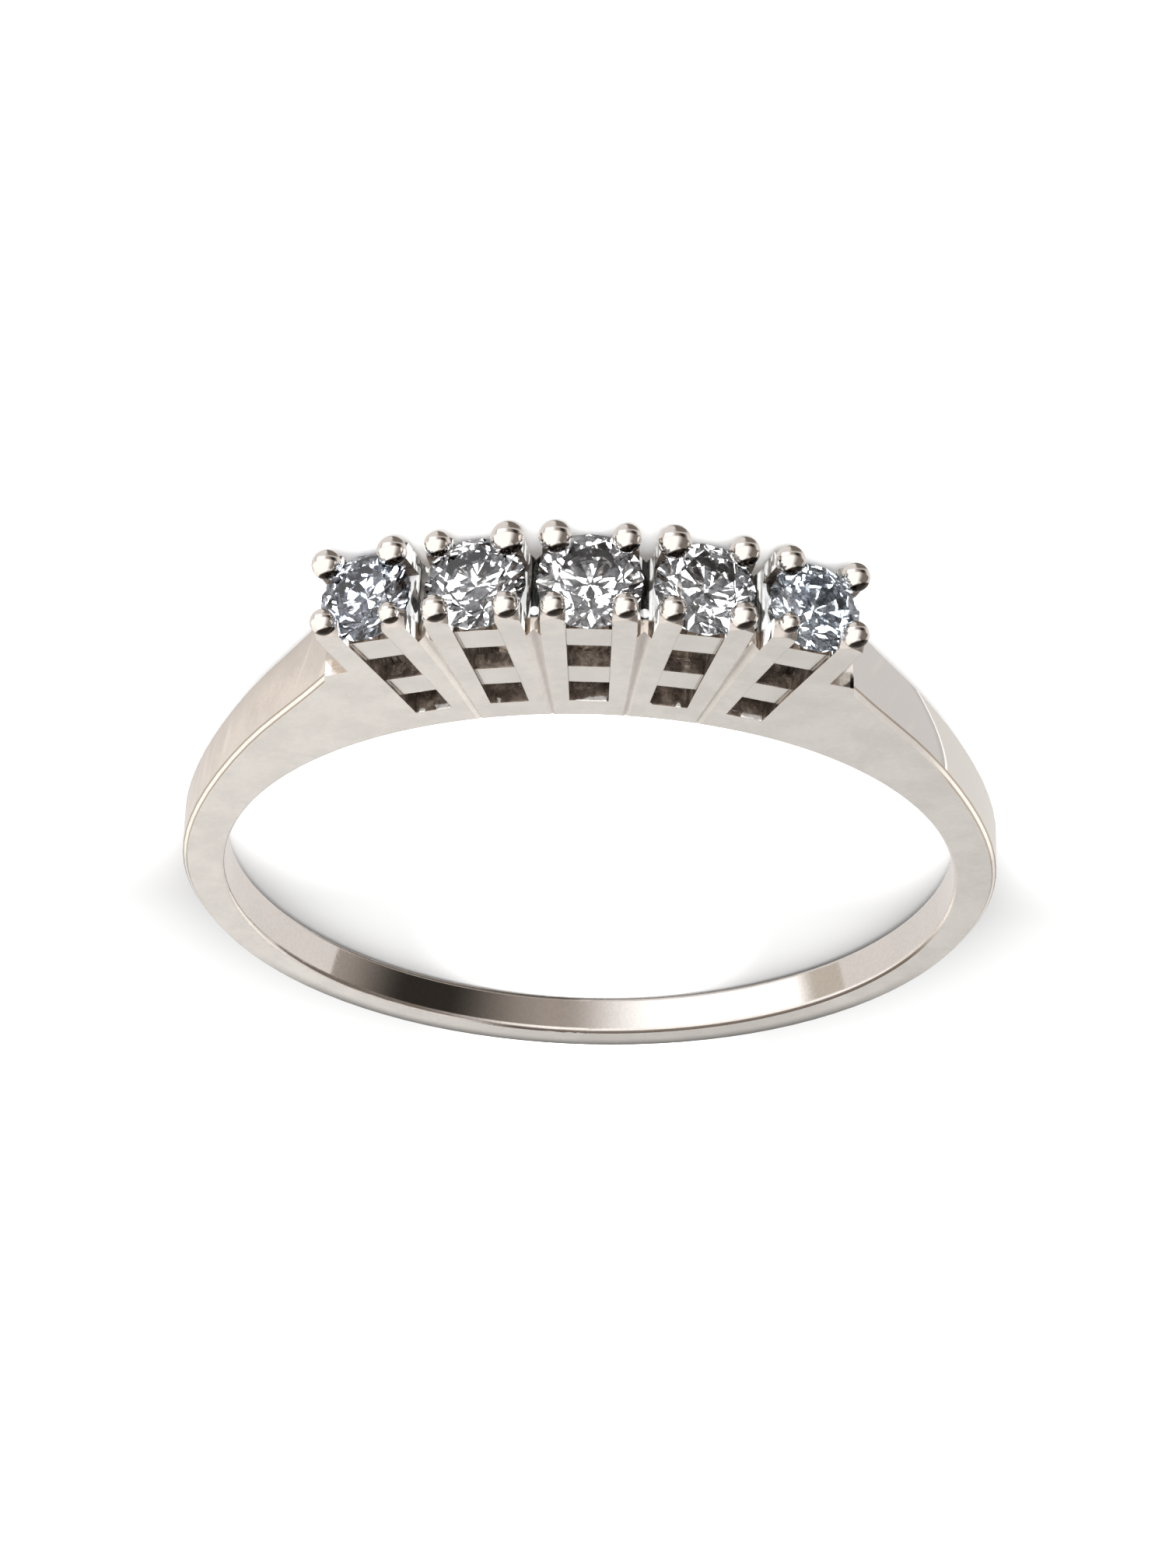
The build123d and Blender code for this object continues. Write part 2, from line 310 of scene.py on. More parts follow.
@dataclass(frozen=True)
class MetalFinish:
    """One finish of the white gold.

    Lengths are in millimetres, and scales are patches in a millimetre. A span holds the values at which an
    effect starts and is complete.
    """

    name: str
    light: Colour
    shade: Colour
    metallic: float = 1.0
    patch_scale: float = 1.1
    patch_span: Span = (0.32, 0.68)
    roughness: float = 0.2
    roughness_spread: float = 0.05
    roughness_span: Span = (0.3, 0.7)
    grain_scale: float = 12.0
    grain_depth: float = 0.0004
    grain_tone: float = 0.03
    grain_span: Span = (0.35, 0.65)
    edge_round: float = 0.03
    crown: float = 0.0
    stain: Colour = (0.05, 0.035, 0.025)
    stain_scale: float = 2.4
    stain_span: Span = (0.60, 0.40)
    stain_share: float = 0.0
    lump_scale: float = 4.0
    lump_stretch: Place = (1.0, 1.0, 1.0)
    lump_depth: float = 0.0

    def tone(self, sheet: Sheet, grain: Socket) -> Socket:
        """Mix the finish's colour: two tones in patches, a grain and stains.

        Args:
            sheet: The material's node sheet.
            grain: The pattern of the fine grain.

        Returns:
            The output that holds the colour.
        """
        patches = sheet.ramp(sheet.noise(self.patch_scale), self.patch_span)
        fleck = sheet.ramp(grain, self.grain_span, 1.0 - self.grain_tone, 1.0 + self.grain_tone)
        colour = sheet.scale(sheet.mix(patches, self.light, self.shade), fleck)
        if self.stain_share:
            clouds = sheet.noise(self.stain_scale, Layer.STAINS, detail=4.0)
            share = sheet.ramp(clouds, self.stain_span, 1.0 - self.stain_share, self.stain_share)
            colour = sheet.mix(share, colour, self.stain)
        return colour

    def relief(self, sheet: Sheet, grain: Socket) -> Socket:
        """Soften the edges, round the surface a little along the finger, and add lumps and the grain.

        Args:
            sheet: The material's node sheet.
            grain: The pattern of the fine grain.

        Returns:
            The output that holds the normal.
        """
        normal = sheet.node("Bevel", {"Radius": self.edge_round * MM}, samples=4).outputs["Normal"]
        if self.crown:
            _, _, along = sheet.place()
            normal = sheet.bump(sheet.times(along, along), -self.crown * MM, normal)
        if self.lump_depth:
            lumps = sheet.noise(self.lump_scale, Layer.LUMPS, detail=2.0, stretch=self.lump_stretch)
            normal = sheet.bump(lumps, self.lump_depth * MM, normal)
        return sheet.bump(grain, self.grain_depth * MM, normal)

    def bareness(self, sheet: Sheet) -> object:
        """Say how far the finish looks like bare metal.

        Args:
            sheet: The material's node sheet.

        Returns:
            A number, or an output where it isn't the same all over.
        """
        return self.metallic

    def material(self) -> bpy.types.Material:
        """Make the finish's material.

        Returns:
            A node-based metal.
        """
        made, sheet, shader = new_material(self.name, "BsdfPrincipled")
        grain = sheet.noise(self.grain_scale, Layer.GRAIN, detail=2.0)
        smoothest = max(0.0, self.roughness - self.roughness_spread)
        roughest = self.roughness + self.roughness_spread
        looks = {
            "Metallic": self.bareness(sheet),
            "Base Color": self.tone(sheet, grain),
            "Roughness": sheet.ramp(grain, self.roughness_span, smoothest, roughest),
            "Normal": self.relief(sheet, grain),
        }
        for name, value in looks.items():
            sheet.feed(shader.inputs[name], value)
        return made


@dataclass(frozen=True)
class FaceFinish(MetalFinish):
    """The finish of the front and the back, with painted shade: darker towards -X, at the band's foot and
    along its rim there.
    """

    side_reach: float = 6.0
    side_shade_factor: float = 0.85
    foot_span: Span = (5.5, 9.5)
    foot_shade_factor: float = 0.80
    rim_span: Span = (8.85, 9.28)
    rim_foot_span: Span = (3.5, 7.5)
    rim_shade_share: float = 0.75

    def tone(self, sheet: Sheet, grain: Socket) -> Socket:
        """Mix the finish's colour, and darken it with painted shade where less light reaches it.

        Args:
            sheet: The material's node sheet.
            grain: The pattern of the fine grain.

        Returns:
            The output that holds the colour.
        """
        across, down, _ = sheet.place()
        # Painted shade: darker towards -X, at the band's foot, and along the band's rim near the foot
        side = sheet.ramp(across, (-self.side_reach, self.side_reach), low=self.side_shade_factor)
        foot = sheet.ramp(down, self.foot_span, low=1.0, high=self.foot_shade_factor)
        rim = sheet.times(sheet.ramp(sheet.radius(), self.rim_span), sheet.ramp(down, self.rim_foot_span))
        kept = sheet.math("MULTIPLY_ADD", rim, -self.rim_shade_share, 1.0)
        return sheet.scale(super().tone(sheet, grain), sheet.times(side, foot, kept))


@dataclass(frozen=True)
class HoleFinish(MetalFinish):
    """The polished inside of the band, with a painted dark reflection along its edges at the foot but for the
    +X side.
    """

    line: Colour = (0.16, 0.13, 0.11)
    line_span: Span = (8.505, 8.525)
    foot_span: Span = (1.0, 4.0)
    side_span: Span = (3.4, 1.8)

    def tone(self, sheet: Sheet, grain: Socket) -> Socket:
        """Mix the finish's colour and the painted dark reflection line.

        Args:
            sheet: The material's node sheet.
            grain: The pattern of the fine grain.

        Returns:
            The output that holds the colour.
        """
        across, down, _ = sheet.place()
        # Painted reflection: a dark line along the inner edges at the band's foot, but for the +X side
        share = sheet.times(sheet.ramp(down, self.foot_span), sheet.ramp(across, self.side_span),
                            sheet.ramp(sheet.radius(), self.line_span))
        return sheet.mix(share, super().tone(sheet, grain), self.line)


@dataclass(frozen=True)
class ShoulderFinish(MetalFinish):
    """The buffed outside of the shoulders.

    It is painted warm and light towards +X, with stripes along the finger, a painted highlight near the bevel
    and painted shade towards -Z. It is painted cooler towards -X, with a bright painted highlight line, a
    painted shadow on one side of it and a paler tone beyond it.
    Turns are in degrees.
    """

    cool: Colour = (0.725, 0.705, 0.69)
    far: Colour = (0.84, 0.82, 0.78)
    side_reach: float = 3.0
    stripe: Colour = (1.0, 0.94, 0.86)
    stripe_scale: float = 0.28
    stripe_lean: float = -4.0
    stripe_span: Span = (0.52, 0.70)
    stripe_share: float = 0.9
    stripe_rest: float = 0.15
    wear_scale: float = 0.5
    wear_span: Span = (0.40, 0.60)
    glow_depth: float = 0.75
    glow_share: float = 0.40
    line: Colour = (1.0, 0.98, 0.95)
    line_turn: float = -50.9
    line_lean: float = -6.95
    line_bend: float = 6.5
    line_reach: float = 0.5
    line_core: float = 0.25
    line_shine: float = 0.12
    shadow: Colour = (0.57, 0.545, 0.525)
    shadow_reach: float = 3.0
    shadow_edge: float = 0.1
    rim: Colour = (0.58, 0.53, 0.495)
    rim_span: Span = (0.1, -1.0)
    rim_share: float = 0.85

    def beyond_line(self, sheet: Sheet) -> Socket:
        """Read how far a point lies beyond the painted highlight line, in degrees about the finger's axis.

        Args:
            sheet: The material's node sheet.

        Returns:
            The output that holds the angle.
        """
        _, _, along = sheet.place()
        bend = sheet.math("MULTIPLY_ADD", sheet.times(along, along), self.line_bend, self.line_turn)
        return sheet.math("SUBTRACT", sheet.math("MULTIPLY_ADD", along, self.line_lean, bend), sheet.turn())

    def line_share(self, sheet: Sheet) -> Socket:
        """Read where the painted highlight line is: one on the line and nought beside it."""
        away = sheet.math("ABSOLUTE", self.beyond_line(sheet))
        return sheet.ramp(away, (self.line_reach, self.line_core))

    def bareness(self, sheet: Sheet) -> Socket:
        """Let the painted highlight line shine in any light, while the rest looks like bare metal."""
        return sheet.math("MULTIPLY_ADD", self.line_share(sheet), -self.line_shine, 1.0)

    def tone(self, sheet: Sheet, grain: Socket) -> Socket:
        """Mix the painted warm and cool sides, the stripes along the finger, and the painted highlight line
        with its painted shadow.

        Args:
            sheet: The material's node sheet.
            grain: The pattern of the fine grain.

        Returns:
            The output that holds the colour.
        """
        across, _, along = sheet.place()
        reach = self.side_reach
        # Painted light: the +X side is painted warm and light, the -X side cooler, and paler beyond the
        # highlight line
        warm = sheet.ramp(across, (0.0, reach))
        beyond = self.beyond_line(sheet)
        cool = sheet.mix(sheet.ramp(beyond, (-self.line_reach, self.line_reach)), self.cool, self.far)
        colour = sheet.mix(sheet.ramp(across, (reach, -reach)), super().tone(sheet, grain), cool)

        leaning = sheet.math("MULTIPLY_ADD", along, self.stripe_lean, sheet.turn())
        stripes = sheet.stripes(leaning, self.stripe_scale)
        stripes = sheet.ramp(stripes, self.stripe_span, high=self.stripe_share)
        worn = sheet.ramp(sheet.noise(self.wear_scale, Layer.WEAR), self.wear_span)
        share = sheet.times(stripes, worn, sheet.ramp(across, (-reach, reach), low=self.stripe_rest))
        colour = sheet.mix(share, colour, self.stripe)
        # Painted highlight: paler near the bevel towards +X, in the stripe colour
        glow = sheet.ramp(TAPER.depth(sheet), (self.glow_depth, 0.0), high=self.glow_share)
        colour = sheet.mix(sheet.times(glow, warm), colour, self.stripe)
        # Painted shade: darker towards -Z on the +X side
        rim = sheet.times(warm, sheet.ramp(along, self.rim_span, high=self.rim_share))
        colour = sheet.mix(rim, colour, self.rim)

        # Painted shadow beside the highlight line, and the line itself a painted highlight
        dark = sheet.times(sheet.ramp(beyond, (-self.shadow_reach, 0.0)),
                           sheet.ramp(beyond, (self.shadow_edge, 0.0)))
        return sheet.mix(self.line_share(sheet), sheet.mix(dark, colour, self.shadow), self.line)


@dataclass(frozen=True)
class BevelFinish(MetalFinish):
    """The polished outer bevels, with a dark line of painted shade on each side.

    Near the head towards -X there is one line and painted shade darkens the bevel, and at the band's foot
    painted shade darkens them. Turns are in degrees.
    """

    line: Colour = (0.42, 0.355, 0.30)
    line_width: float = 0.019
    bevel_width: float = 0.11
    brown: Colour = (0.765, 0.735, 0.70)
    brown_span: Span = (-56.0, -46.0)
    side_span: Span = (0.0, -1.0)
    foot_span: Span = (4.0, 8.0)
    foot_shade_factor: float = 0.22

    def tone(self, sheet: Sheet, grain: Socket) -> Socket:
        """Mix the finish's colour, the painted shade of the darker parts and the two lines.

        Args:
            sheet: The material's node sheet.
            grain: The pattern of the fine grain.

        Returns:
            The output that holds the colour.
        """
        turn = sheet.turn()
        _, down, _ = sheet.place()
        # Painted shade: the bevel towards -X near the head is darker
        brown = sheet.times(sheet.ramp(turn, self.brown_span), sheet.ramp(turn, self.side_span))
        colour = sheet.mix(brown, super().tone(sheet, grain), self.brown)
        reach = self.bevel_width / 2
        # Painted shade: a dark line along each edge of the bevel
        behind = sheet.math("SUBTRACT", TAPER.depth(sheet), reach)
        line_span = (reach - 2 * self.line_width, reach - self.line_width)
        line = sheet.ramp(sheet.math("ABSOLUTE", behind), line_span)
        hidden = sheet.times(brown, sheet.math("LESS_THAN", behind, 0.0))
        line = sheet.times(line, sheet.math("SUBTRACT", 1.0, hidden))
        # Painted shade: darker at the band's foot
        foot = sheet.ramp(down, self.foot_span, low=1.0, high=self.foot_shade_factor)
        return sheet.scale(sheet.mix(line, colour, self.line), foot)


@dataclass(frozen=True)
class NotchFinish(MetalFinish):
    """The polished notches beside the end claws.

    The one towards -X has a painted highlight strip and a dark slit of painted shade, and the one towards +X
    a painted glint.
    """

    lean: float = math.radians(21.5)
    slit_shade: Colour = (0.09, 0.08, 0.07)
    slit_span: Span = (1.49, 1.51)
    strip: Colour = (0.98, 0.95, 0.91)
    strip_span: Span = (1.22, 1.28)
    glint_span: Span = (1.41, 1.45)
    side_reach: float = 1.0

    def tone(self, sheet: Sheet, grain: Socket) -> Socket:
        """Mix the finish's colour, the painted highlight strip and painted shade slit of one side, and the
        painted glint of the other.

        Args:
            sheet: The material's node sheet.
            grain: The pattern of the fine grain.

        Returns:
            The output that holds the colour.
        """
        across, down, _ = sheet.place()
        out = sheet.math("MULTIPLY_ADD", sheet.math("ABSOLUTE", across), math.cos(self.lean),
                         sheet.times(down, math.sin(self.lean)))
        # Painted highlight: a bright strip towards -X and a glint towards +X; painted shade: a dark slit
        # towards -X
        slit_side = sheet.ramp(across, (0.0, -self.side_reach))
        glint_side = sheet.ramp(across, (0.0, self.side_reach))
        bright = sheet.math("MAXIMUM", sheet.times(slit_side, sheet.ramp(out, self.strip_span)),
                            sheet.times(glint_side, sheet.ramp(out, self.glint_span)))
        slit_shade = sheet.times(slit_side, sheet.ramp(out, self.slit_span))
        return sheet.mix(slit_shade, sheet.mix(bright, super().tone(sheet, grain), self.strip), self.slit_shade)


@dataclass(frozen=True)
class TipFinish(MetalFinish):
    """The polished claw tips, with painted shade where they meet their necks and a painted dark reflection in
    a crescent towards +Z.
    """

    foot: Colour = (0.035, 0.027, 0.022)
    foot_span: Span = (13.40, 13.28)
    crescent_aim: Place = (-0.28, 0.22, 0.93)
    crescent_span: Span = (0.62, 0.72)

    def tone(self, sheet: Sheet, grain: Socket) -> Socket:
        """Mix the finish's colour, with painted shade at the foot of each tip and a painted dark reflection
        in the crescent.

        Args:
            sheet: The material's node sheet.
            grain: The pattern of the fine grain.

        Returns:
            The output that holds the colour.
        """
        normal = sheet.node("NewGeometry").outputs["Normal"]
        facing = sheet.node("VectorMath", {0: normal, 1: self.crescent_aim}, operation="DOT_PRODUCT")
        # Painted shade at each tip's foot, and a painted dark reflection in the crescent
        dark = sheet.math("MAXIMUM", sheet.ramp(sheet.radius(), self.foot_span),
                          sheet.ramp(facing.outputs["Value"], self.crescent_span))
        return sheet.mix(dark, super().tone(sheet, grain), self.foot)


@dataclass(frozen=True)
class LedgeFinish(MetalFinish):
    """The sloping top of each claw's bar, with painted shade: dark under the claw tip and paler at the edge
    of the bar.
    """

    rim: Colour = (0.60, 0.55, 0.51)
    rim_span: Span = (13.45, 13.38)

    def tone(self, sheet: Sheet, grain: Socket) -> Socket:
        """Mix the finish's painted shade, and pale it towards the edge of the bar, out of the shade."""
        return sheet.mix(sheet.ramp(sheet.radius(), self.rim_span), super().tone(sheet, grain), self.rim)


@dataclass(frozen=True)
class SillFinish(MetalFinish):
    """The sills of the windows, painted dark as shade, with bright specks of painted glint along their front
    and back edges.
    """

    speck_glint: Colour = (1.0, 0.97, 0.93)
    speck_scale: float = 3.6
    speck_span: Span = (0.42, 0.46)
    speck_depth_span: Span = (0.15, 0.10)
    speck_top: float = 10.0

    def tone(self, sheet: Sheet, grain: Socket) -> Socket:
        """Mix the finish's colour, and put the painted glints on the outer edge.

        Args:
            sheet: The material's node sheet.
            grain: The pattern of the fine grain.

        Returns:
            The output that holds the colour.
        """
        # Painted highlights: bright glints near the sills' front and back edges
        edge = sheet.times(sheet.ramp(TAPER.depth(sheet), self.speck_depth_span),
                           sheet.math("LESS_THAN", sheet.radius(), self.speck_top))
        specks = sheet.ramp(sheet.noise(self.speck_scale, Layer.SPECKS, detail=0.0), self.speck_span)
        return sheet.mix(sheet.times(edge, specks), super().tone(sheet, grain), self.speck_glint)


@dataclass(frozen=True)
class GapFinish(MetalFinish):
    """The polished walls between two settings.

    They are painted dark, as shade deep between the settings, with bright streaks of painted highlight, a
    dark line of painted shade half-way between two settings, and a pit of painted shade with a painted
    highlight dot at its end towards +Z.
    Towards +X there are more streaks and no dark line. Turns are in degrees.
    """

    pitch: float = 10.75
    slot_shade: Colour = (0.015, 0.015, 0.013)
    joint_span: Span = (0.44, 0.36)
    streak: Colour = (1.0, 1.0, 0.99)
    streak_scale: float = 4.6
    streak_stretch: Place = (1.0, 1.0, 0.35)
    streak_span: Span = (0.47, 0.50)
    bright_span: Span = (8.0, 12.0)
    bright_gain: float = 0.05
    pit: Colour = (0.16, 0.12, 0.09)
    pit_middle: Colour = (0.66, 0.59, 0.52)
    pit_turn_span: Span = (0.30, 0.42)
    pit_depth_span: Span = (0.48, 0.40)
    pit_top: float = 12.70
    pit_edge: float = 0.1
    dot_depth: float = 0.60
    dot_span: Span = (0.12, 0.10)

    def streaks(self, sheet: Sheet) -> Socket:
        """Read where the bright streaks of painted highlight are: one on a streak and nought between them.

        Args:
            sheet: The material's node sheet.

        Returns:
            The output that holds the share.
        """
        clouds = sheet.noise(self.streak_scale, Layer.STREAKS, detail=0.0, stretch=self.streak_stretch)
        gain = sheet.ramp(sheet.turn(), self.bright_span, high=self.bright_gain)
        return sheet.ramp(sheet.math("ADD", clouds, gain), self.streak_span)

    def bareness(self, sheet: Sheet) -> Socket:
        """Let the painted highlight streaks shine in any light, while the rest looks more like bare metal."""
        return sheet.math("MULTIPLY_ADD", self.streaks(sheet), -self.metallic, self.metallic)

    def tone(self, sheet: Sheet, grain: Socket) -> Socket:
        """Mix the colour, the painted highlight streaks, the painted shade line half-way between settings,
        and its end.

        Args:
            sheet: The material's node sheet.
            grain: The pattern of the fine grain.

        Returns:
            The output that holds the colour.
        """
        turn = sheet.turn()
        half = self.pitch / 2
        away = sheet.math("ABSOLUTE", sheet.math("WRAP", sheet.math("SUBTRACT", turn, half), half, -half))
        # Painted highlights: the bright streaks
        colour = sheet.mix(self.streaks(sheet), super().tone(sheet, grain), self.streak)
        # Painted shade: a dark line half-way between two settings
        slot_shade = sheet.times(sheet.ramp(away, self.joint_span), sheet.ramp(turn, self.bright_span, 1.0, 0.0))
        colour = sheet.mix(slot_shade, colour, self.slot_shade)

        # Painted shade in the pit at the +Z end, with a painted highlight dot in it
        _, _, along = sheet.place()
        depth = TAPER.depth(sheet)
        low = sheet.times(sheet.ramp(sheet.radius(), (self.pit_top + self.pit_edge, self.pit_top)),
                          sheet.ramp(along, (0.0, self.pit_edge)))
        pit = sheet.mix(sheet.ramp(away, self.pit_turn_span), self.pit_middle, self.pit)
        colour = sheet.mix(sheet.times(low, sheet.ramp(depth, self.pit_depth_span)), colour, pit)
        beside = sheet.times(away, math.radians(self.pit_top))
        behind = sheet.math("SUBTRACT", depth, self.dot_depth)
        dot = sheet.ramp(sheet.length(beside, behind), self.dot_span)
        return sheet.mix(sheet.times(low, dot), colour, self.streak)


@dataclass(frozen=True)
class DiamondFinish:
    """The clear, strongly refracting body of one diamond. Scales are patches in a millimetre."""

    node: str
    tint: Colour
    shade: Colour
    clarity: float = 1.0
    refraction: float = 2.417
    roughness: float = 0.03
    gloss: Colour = (0.36, 0.36, 0.37)
    zone_scale: float = 1.7
    zone_span: Span = (0.4, 0.7)
    mottle_scale: float = 8.0
    mottle_span: Span = (0.42, 0.58)
    mottle_roughness: float = 0.7
    mottle_depth: float = 0.38
    ripple_scale: float = 7.0
    ripple_middle: Place = (0.5, 0.5, 0.5)
    ripple_tilt: float = 0.006

    def ripple(self, sheet: Sheet) -> Socket:
        """Tilt small cells of the surface a little, as the fine polish of the facets does.

        Args:
            sheet: The material's node sheet.

        Returns:
            The output that holds the normal.
        """
        where = sheet.node("TexCoord").outputs["Object"]
        cells = sheet.node("TexVoronoi", {"Vector": where, "Scale": self.ripple_scale / MM}, feature="F1")
        centred = sheet.node("VectorMath", {0: cells.outputs["Color"], 1: self.ripple_middle},
                             operation="SUBTRACT")
        tilt = sheet.scale(centred.outputs[0], self.ripple_tilt)
        normal = sheet.node("NewGeometry").outputs["Normal"]
        return sheet.node("VectorMath", {0: tilt, 1: normal}, operation="ADD").outputs[0]

    def material(self) -> bpy.types.Material:
        """Make the diamond's material.

        Returns:
            A node-based clear material with faint zones of another tint and a fine mottle.
        """
        made, sheet, shader = new_material(self.node + "_body", "BsdfPrincipled")
        zones = sheet.ramp(sheet.noise(self.zone_scale, detail=4.0), self.zone_span)
        mottle = sheet.ramp(sheet.noise(self.mottle_scale, detail=2.0, roughness=self.mottle_roughness),
                            self.mottle_span, low=self.mottle_depth)
        looks = {
            "Transmission Weight": self.clarity,
            "IOR": self.refraction,
            "Specular Tint": self.gloss,
            "Roughness": self.roughness,
            "Base Color": sheet.scale(sheet.mix(zones, self.tint, self.shade), mottle),
            "Normal": self.ripple(sheet),
        }
        for name, value in looks.items():
            sheet.feed(shader.inputs[name], value)
        return made


class Region(Enum):
    """A part of the casting that has a finish of its own."""

    FACE = "face"
    RAIL = "rail"
    HOLE = "hole"
    SHOULDER = "shoulder"
    BEVEL = "bevel"
    TIP = "tip"
    LEDGE = "ledge"
    GAP = "gap"
    NOTCH = "notch"
    SILL = "sill"
    POCKET = "pocket"
    VALLEY = "valley"


METAL_FINISHES = {
    Region.FACE: FaceFinish(
        "satin_face", light=(0.812, 0.79, 0.752), shade=(0.742, 0.72, 0.686), roughness=0.22,
        roughness_spread=0.03, grain_depth=0.0003, grain_tone=0.015, edge_round=0.045),
    Region.RAIL: FaceFinish(
        "smooth_rail", light=(0.785, 0.768, 0.738), shade=(0.735, 0.718, 0.688), roughness=0.20,
        roughness_spread=0.03, grain_depth=0.0002, grain_tone=0.01, edge_round=0.045),
    Region.HOLE: HoleFinish(
        "polished_hole", light=(0.83, 0.785, 0.75), shade=(0.80, 0.76, 0.73), roughness=0.06,
        roughness_spread=0.03, crown=0.05),
    Region.SHOULDER: ShoulderFinish(
        "buffed_shoulder", light=(0.95, 0.86, 0.775), shade=(0.80, 0.725, 0.655), roughness=0.17,
        patch_scale=0.8, crown=0.05),
    Region.BEVEL: BevelFinish(
        "polished_bevel", light=(0.94, 0.92, 0.89), shade=(0.89, 0.865, 0.83), roughness=0.12,
        edge_round=0.02),
    Region.TIP: TipFinish(
        "polished_tip", light=(0.88, 0.84, 0.80), shade=(0.84, 0.80, 0.77), roughness=0.08,
        roughness_spread=0.02, grain_depth=0.0002, grain_tone=0.01),
    # Painted shade: the ledges under the claw tips are nearly black
    Region.LEDGE: LedgeFinish(
        "neck_painted_shade", light=(0.07, 0.055, 0.045), shade=(0.04, 0.035, 0.03), roughness=0.25,
        edge_round=0.02),
    # Painted shade: the walls between the settings are given dark tones
    Region.GAP: GapFinish(
        "polished_gap", light=(0.30, 0.28, 0.26), shade=(0.09, 0.085, 0.08), roughness=0.10,
        metallic=0.7, patch_scale=3.0, edge_round=0.02, lump_scale=3.0, lump_stretch=(1.0, 1.0, 0.4),
        lump_depth=0.34),
    # Painted shade: the recessed notches have darker tones than the faces
    Region.NOTCH: NotchFinish(
        "polished_notch", light=(0.70, 0.64, 0.58), shade=(0.58, 0.52, 0.47)),
    # Painted shade: the window sills and the pockets inside the head get dark brown tones
    Region.SILL: SillFinish(
        "cast_sill_painted_shade", light=(0.56, 0.46, 0.38), shade=(0.26, 0.20, 0.165), roughness=0.34,
        roughness_spread=0.1, metallic=0.8, patch_scale=2.0, grain_depth=0.001, stain_share=0.75,
        edge_round=0.06, lump_scale=2.4, lump_depth=0.12),
    Region.POCKET: MetalFinish(
        "cast_pocket_painted_shade", light=(0.34, 0.27, 0.22), shade=(0.14, 0.11, 0.09), roughness=0.36,
        roughness_spread=0.1, metallic=0.8, patch_scale=2.0, grain_depth=0.001, stain_share=0.75,
        edge_round=0.04, lump_scale=2.4, lump_depth=0.10),
    # Painted shade: the filed valleys are darker towards -X
    Region.VALLEY: FaceFinish(
        "filed_valley", light=(0.75, 0.72, 0.69), shade=(0.70, 0.67, 0.64), roughness=0.30,
        roughness_spread=0.02, edge_round=0.012, side_reach=4.0, side_shade_factor=0.76),
}


@dataclass
class Mount:
    """The cast mount: band, shoulders, gallery and claws. Lengths are in millimetres, turns in degrees."""

    hole_radius: float = 8.5
    inner_edge_round: float = 0.13
    head_turn: float = 29.0
    setting_pitch: float = 10.75
    last_setting: int = 2
    claw_outer: float = 1.03
    tip_foot: float = 13.38
    ledge_foot: float = 13.08
    gap_foot: float = 12.40
    rail_radius: float = 12.45
    rail_recess: float = 0.04
    notch_recess: float = 0.14
    flat: float = 0.93
    upright: float = 0.35
    leaning: float = 0.7

    def head_region(self, turn: float, centre: Vector, normal: Vector) -> Region:
        """Tell which part of the head a face belongs to, where it is neither front nor back.

        Args:
            turn: The face's turn from the middle of the head.
            centre: The face's centre, in millimetres.
            normal: The face's outward normal.

        Returns:
            The region.
        """
        place = max(-self.last_setting, min(self.last_setting, round(turn / self.setting_pitch)))
        lean = math.radians(place * self.setting_pitch)
        height = centre.x * math.sin(lean) - centre.y * math.cos(lean)
        across = centre.x * math.cos(lean) + centre.y * math.sin(lean)
        outward = normal.x * math.sin(lean) - normal.y * math.cos(lean)
        sideways = abs(normal.x * math.cos(lean) + normal.y * math.sin(lean))
        slanting = sideways < self.flat and abs(normal.z) < self.flat
        beyond_last = abs(place) == self.last_setting and abs(turn) > abs(math.degrees(lean))
        if height > self.tip_foot:
            return Region.TIP
        if height > self.ledge_foot and (outward > self.upright or slanting):
            return Region.LEDGE
        if abs(across) > self.claw_outer and beyond_last:
            return Region.NOTCH
        if height > self.gap_foot and max(outward, sideways) > self.leaning:
            return Region.GAP
        if abs(normal.z) > self.upright and height < self.rail_radius:
            return Region.VALLEY
        return Region.SILL if outward > self.leaning else Region.POCKET

    def region(self, centre: Vector, normal: Vector) -> Region:
        """Tell which part of the casting a face belongs to.

        Args:
            centre: The face's centre, in metres.
            normal: The face's outward normal.

        Returns:
            The region.
        """
        x, y, z = centre / MM
        radius = math.hypot(x, y)
        turn = math.degrees(math.atan2(x, -y))
        outward = (normal.x * x + normal.y * y) / radius
        side = abs(normal.z)
        if radius < self.hole_radius + self.inner_edge_round and outward < -self.upright:
            return Region.HOLE
        if side > self.flat and radius < self.tip_foot and normal.z * z > 0.0:
            depth = TAPER.half_width(y) - abs(z)
            if depth > self.notch_recess:
                return Region.NOTCH
            return Region.RAIL if depth > self.rail_recess else Region.FACE
        if abs(turn) > self.head_turn:
            return Region.SHOULDER if side < self.upright else Region.BEVEL
        return self.head_region(turn, centre / MM, normal)

    def dress(self, frame: dict) -> None:
        """Give each face of the mount the finish of its region.
        """
        mesh = frame["nodes"][MOUNT_NODE].data
        mesh.materials.clear()
        order = list(METAL_FINISHES)
        for region in order:
            mesh.materials.append(METAL_FINISHES[region].material())
        counts = dict.fromkeys(order, 0)
        for face in mesh.polygons:
            region = self.region(face.center, face.normal)
            face.material_index = order.index(region)
            counts[region] += 1
        log.info("dressed %s: %s", MOUNT_NODE, {region.value: count for region, count in counts.items()})


